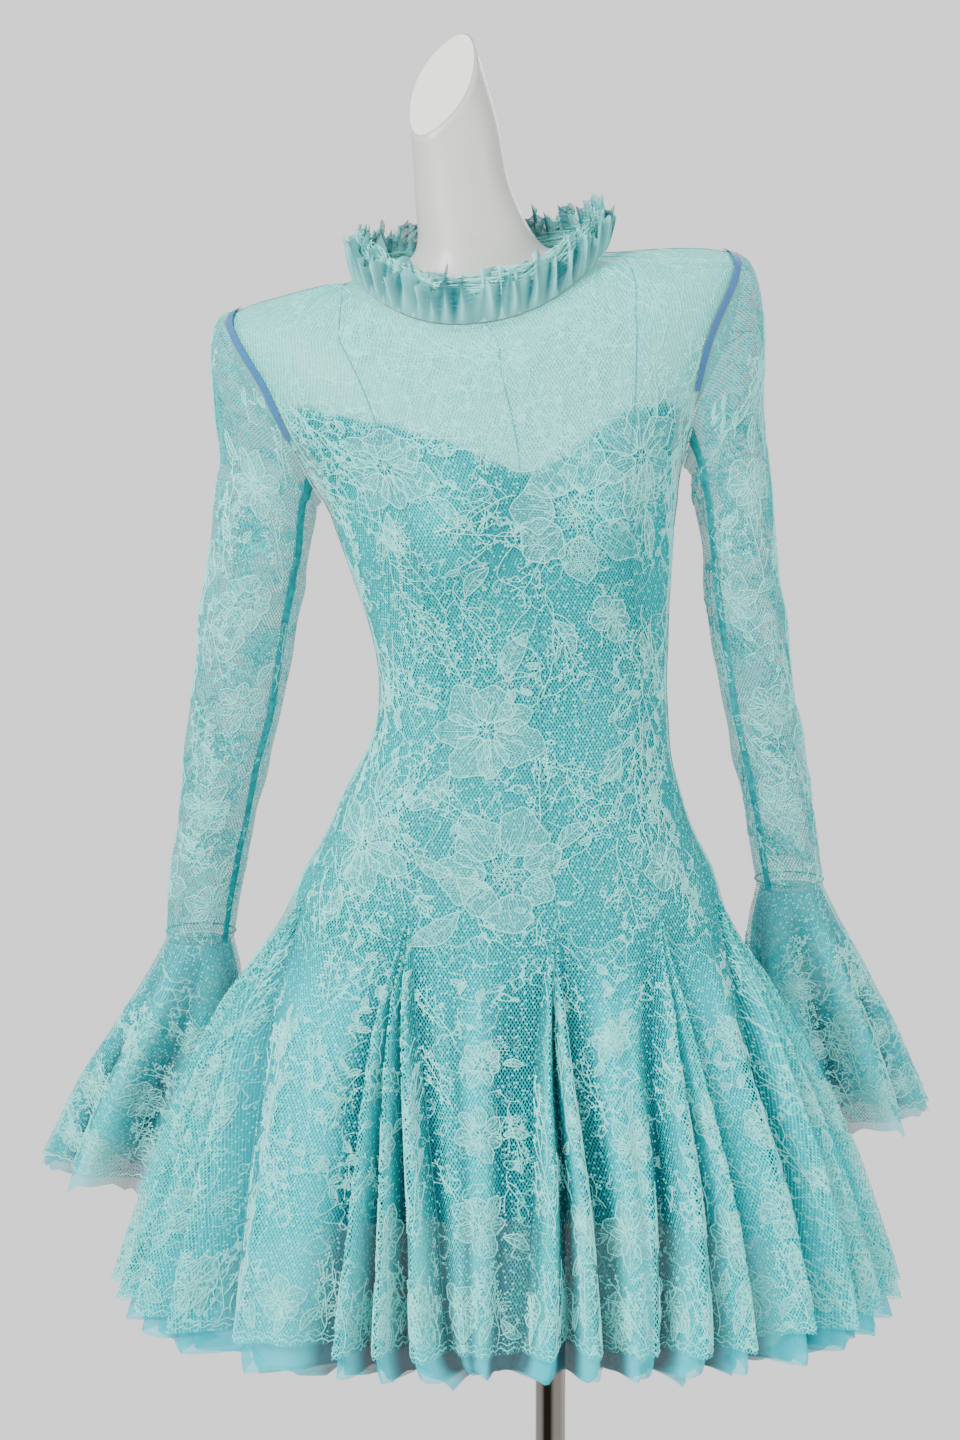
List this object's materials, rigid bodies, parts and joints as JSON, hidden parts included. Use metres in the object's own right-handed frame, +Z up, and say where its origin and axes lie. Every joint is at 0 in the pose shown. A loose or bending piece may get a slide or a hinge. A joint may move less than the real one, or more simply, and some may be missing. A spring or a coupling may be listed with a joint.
{
  "type": "lace mini dress on a dress form",
  "caption": "Long-sleeved corded-lace mini dress with gathered neck ruffle, bell cuffs and flared godet skirt, worn by a limbless dress form on a pole and round base.",
  "frame": {"origin": "centre of the underside of the round base, on the pole's axis", "axes": "+Z up along the pole, the front of the dress faces -Y, +X is the viewer's right in the picture"},
  "size_m": [0.7809, 0.5305, 1.4576],
  "materials": {
    "lace": "corded floral lace on net, aqua, matt",
    "sheer_lace": "sheer lace, pale aqua, matt",
    "lining": "plain woven lining, aqua, soft sheen",
    "net": "plain net, aqua, matt",
    "blue_tape": "woven tape, mid blue",
    "form_white": "satin off-white",
    "chrome": "polished",
    "steel": "fine brushed"
  },
  "bodies": {
    "root": {"base": "steel", "collar_ruffle": "lace", "cuff_left": "lace", "cuff_left_under": "net", "cuff_right": "lace", "cuff_right_under": "net", "form": "form_white", "lace_centre_back_left": "lace", "lace_centre_back_right": "lace", "lace_centre_front_left": "lace", "lace_centre_front_right": "lace", "lace_godet_back_left": "lace", "lace_godet_back_right": "lace", "lace_godet_centre_back": "lace", "lace_godet_centre_front": "lace", "lace_godet_front_left": "lace", "lace_godet_front_right": "lace", "lace_godet_side_left": "lace", "lace_godet_side_right": "lace", "lace_side_back_left": "lace", "lace_side_back_right": "lace", "lace_side_front_left": "lace", "lace_side_front_right": "lace", "lining_back": "lining", "lining_front": "lining", "pole": "chrome", "sleeve_left": "sheer_lace", "sleeve_right": "sheer_lace", "tape_left": "blue_tape", "tape_right": "blue_tape", "under_skirt": "net"}
  },
  "joints": []
}
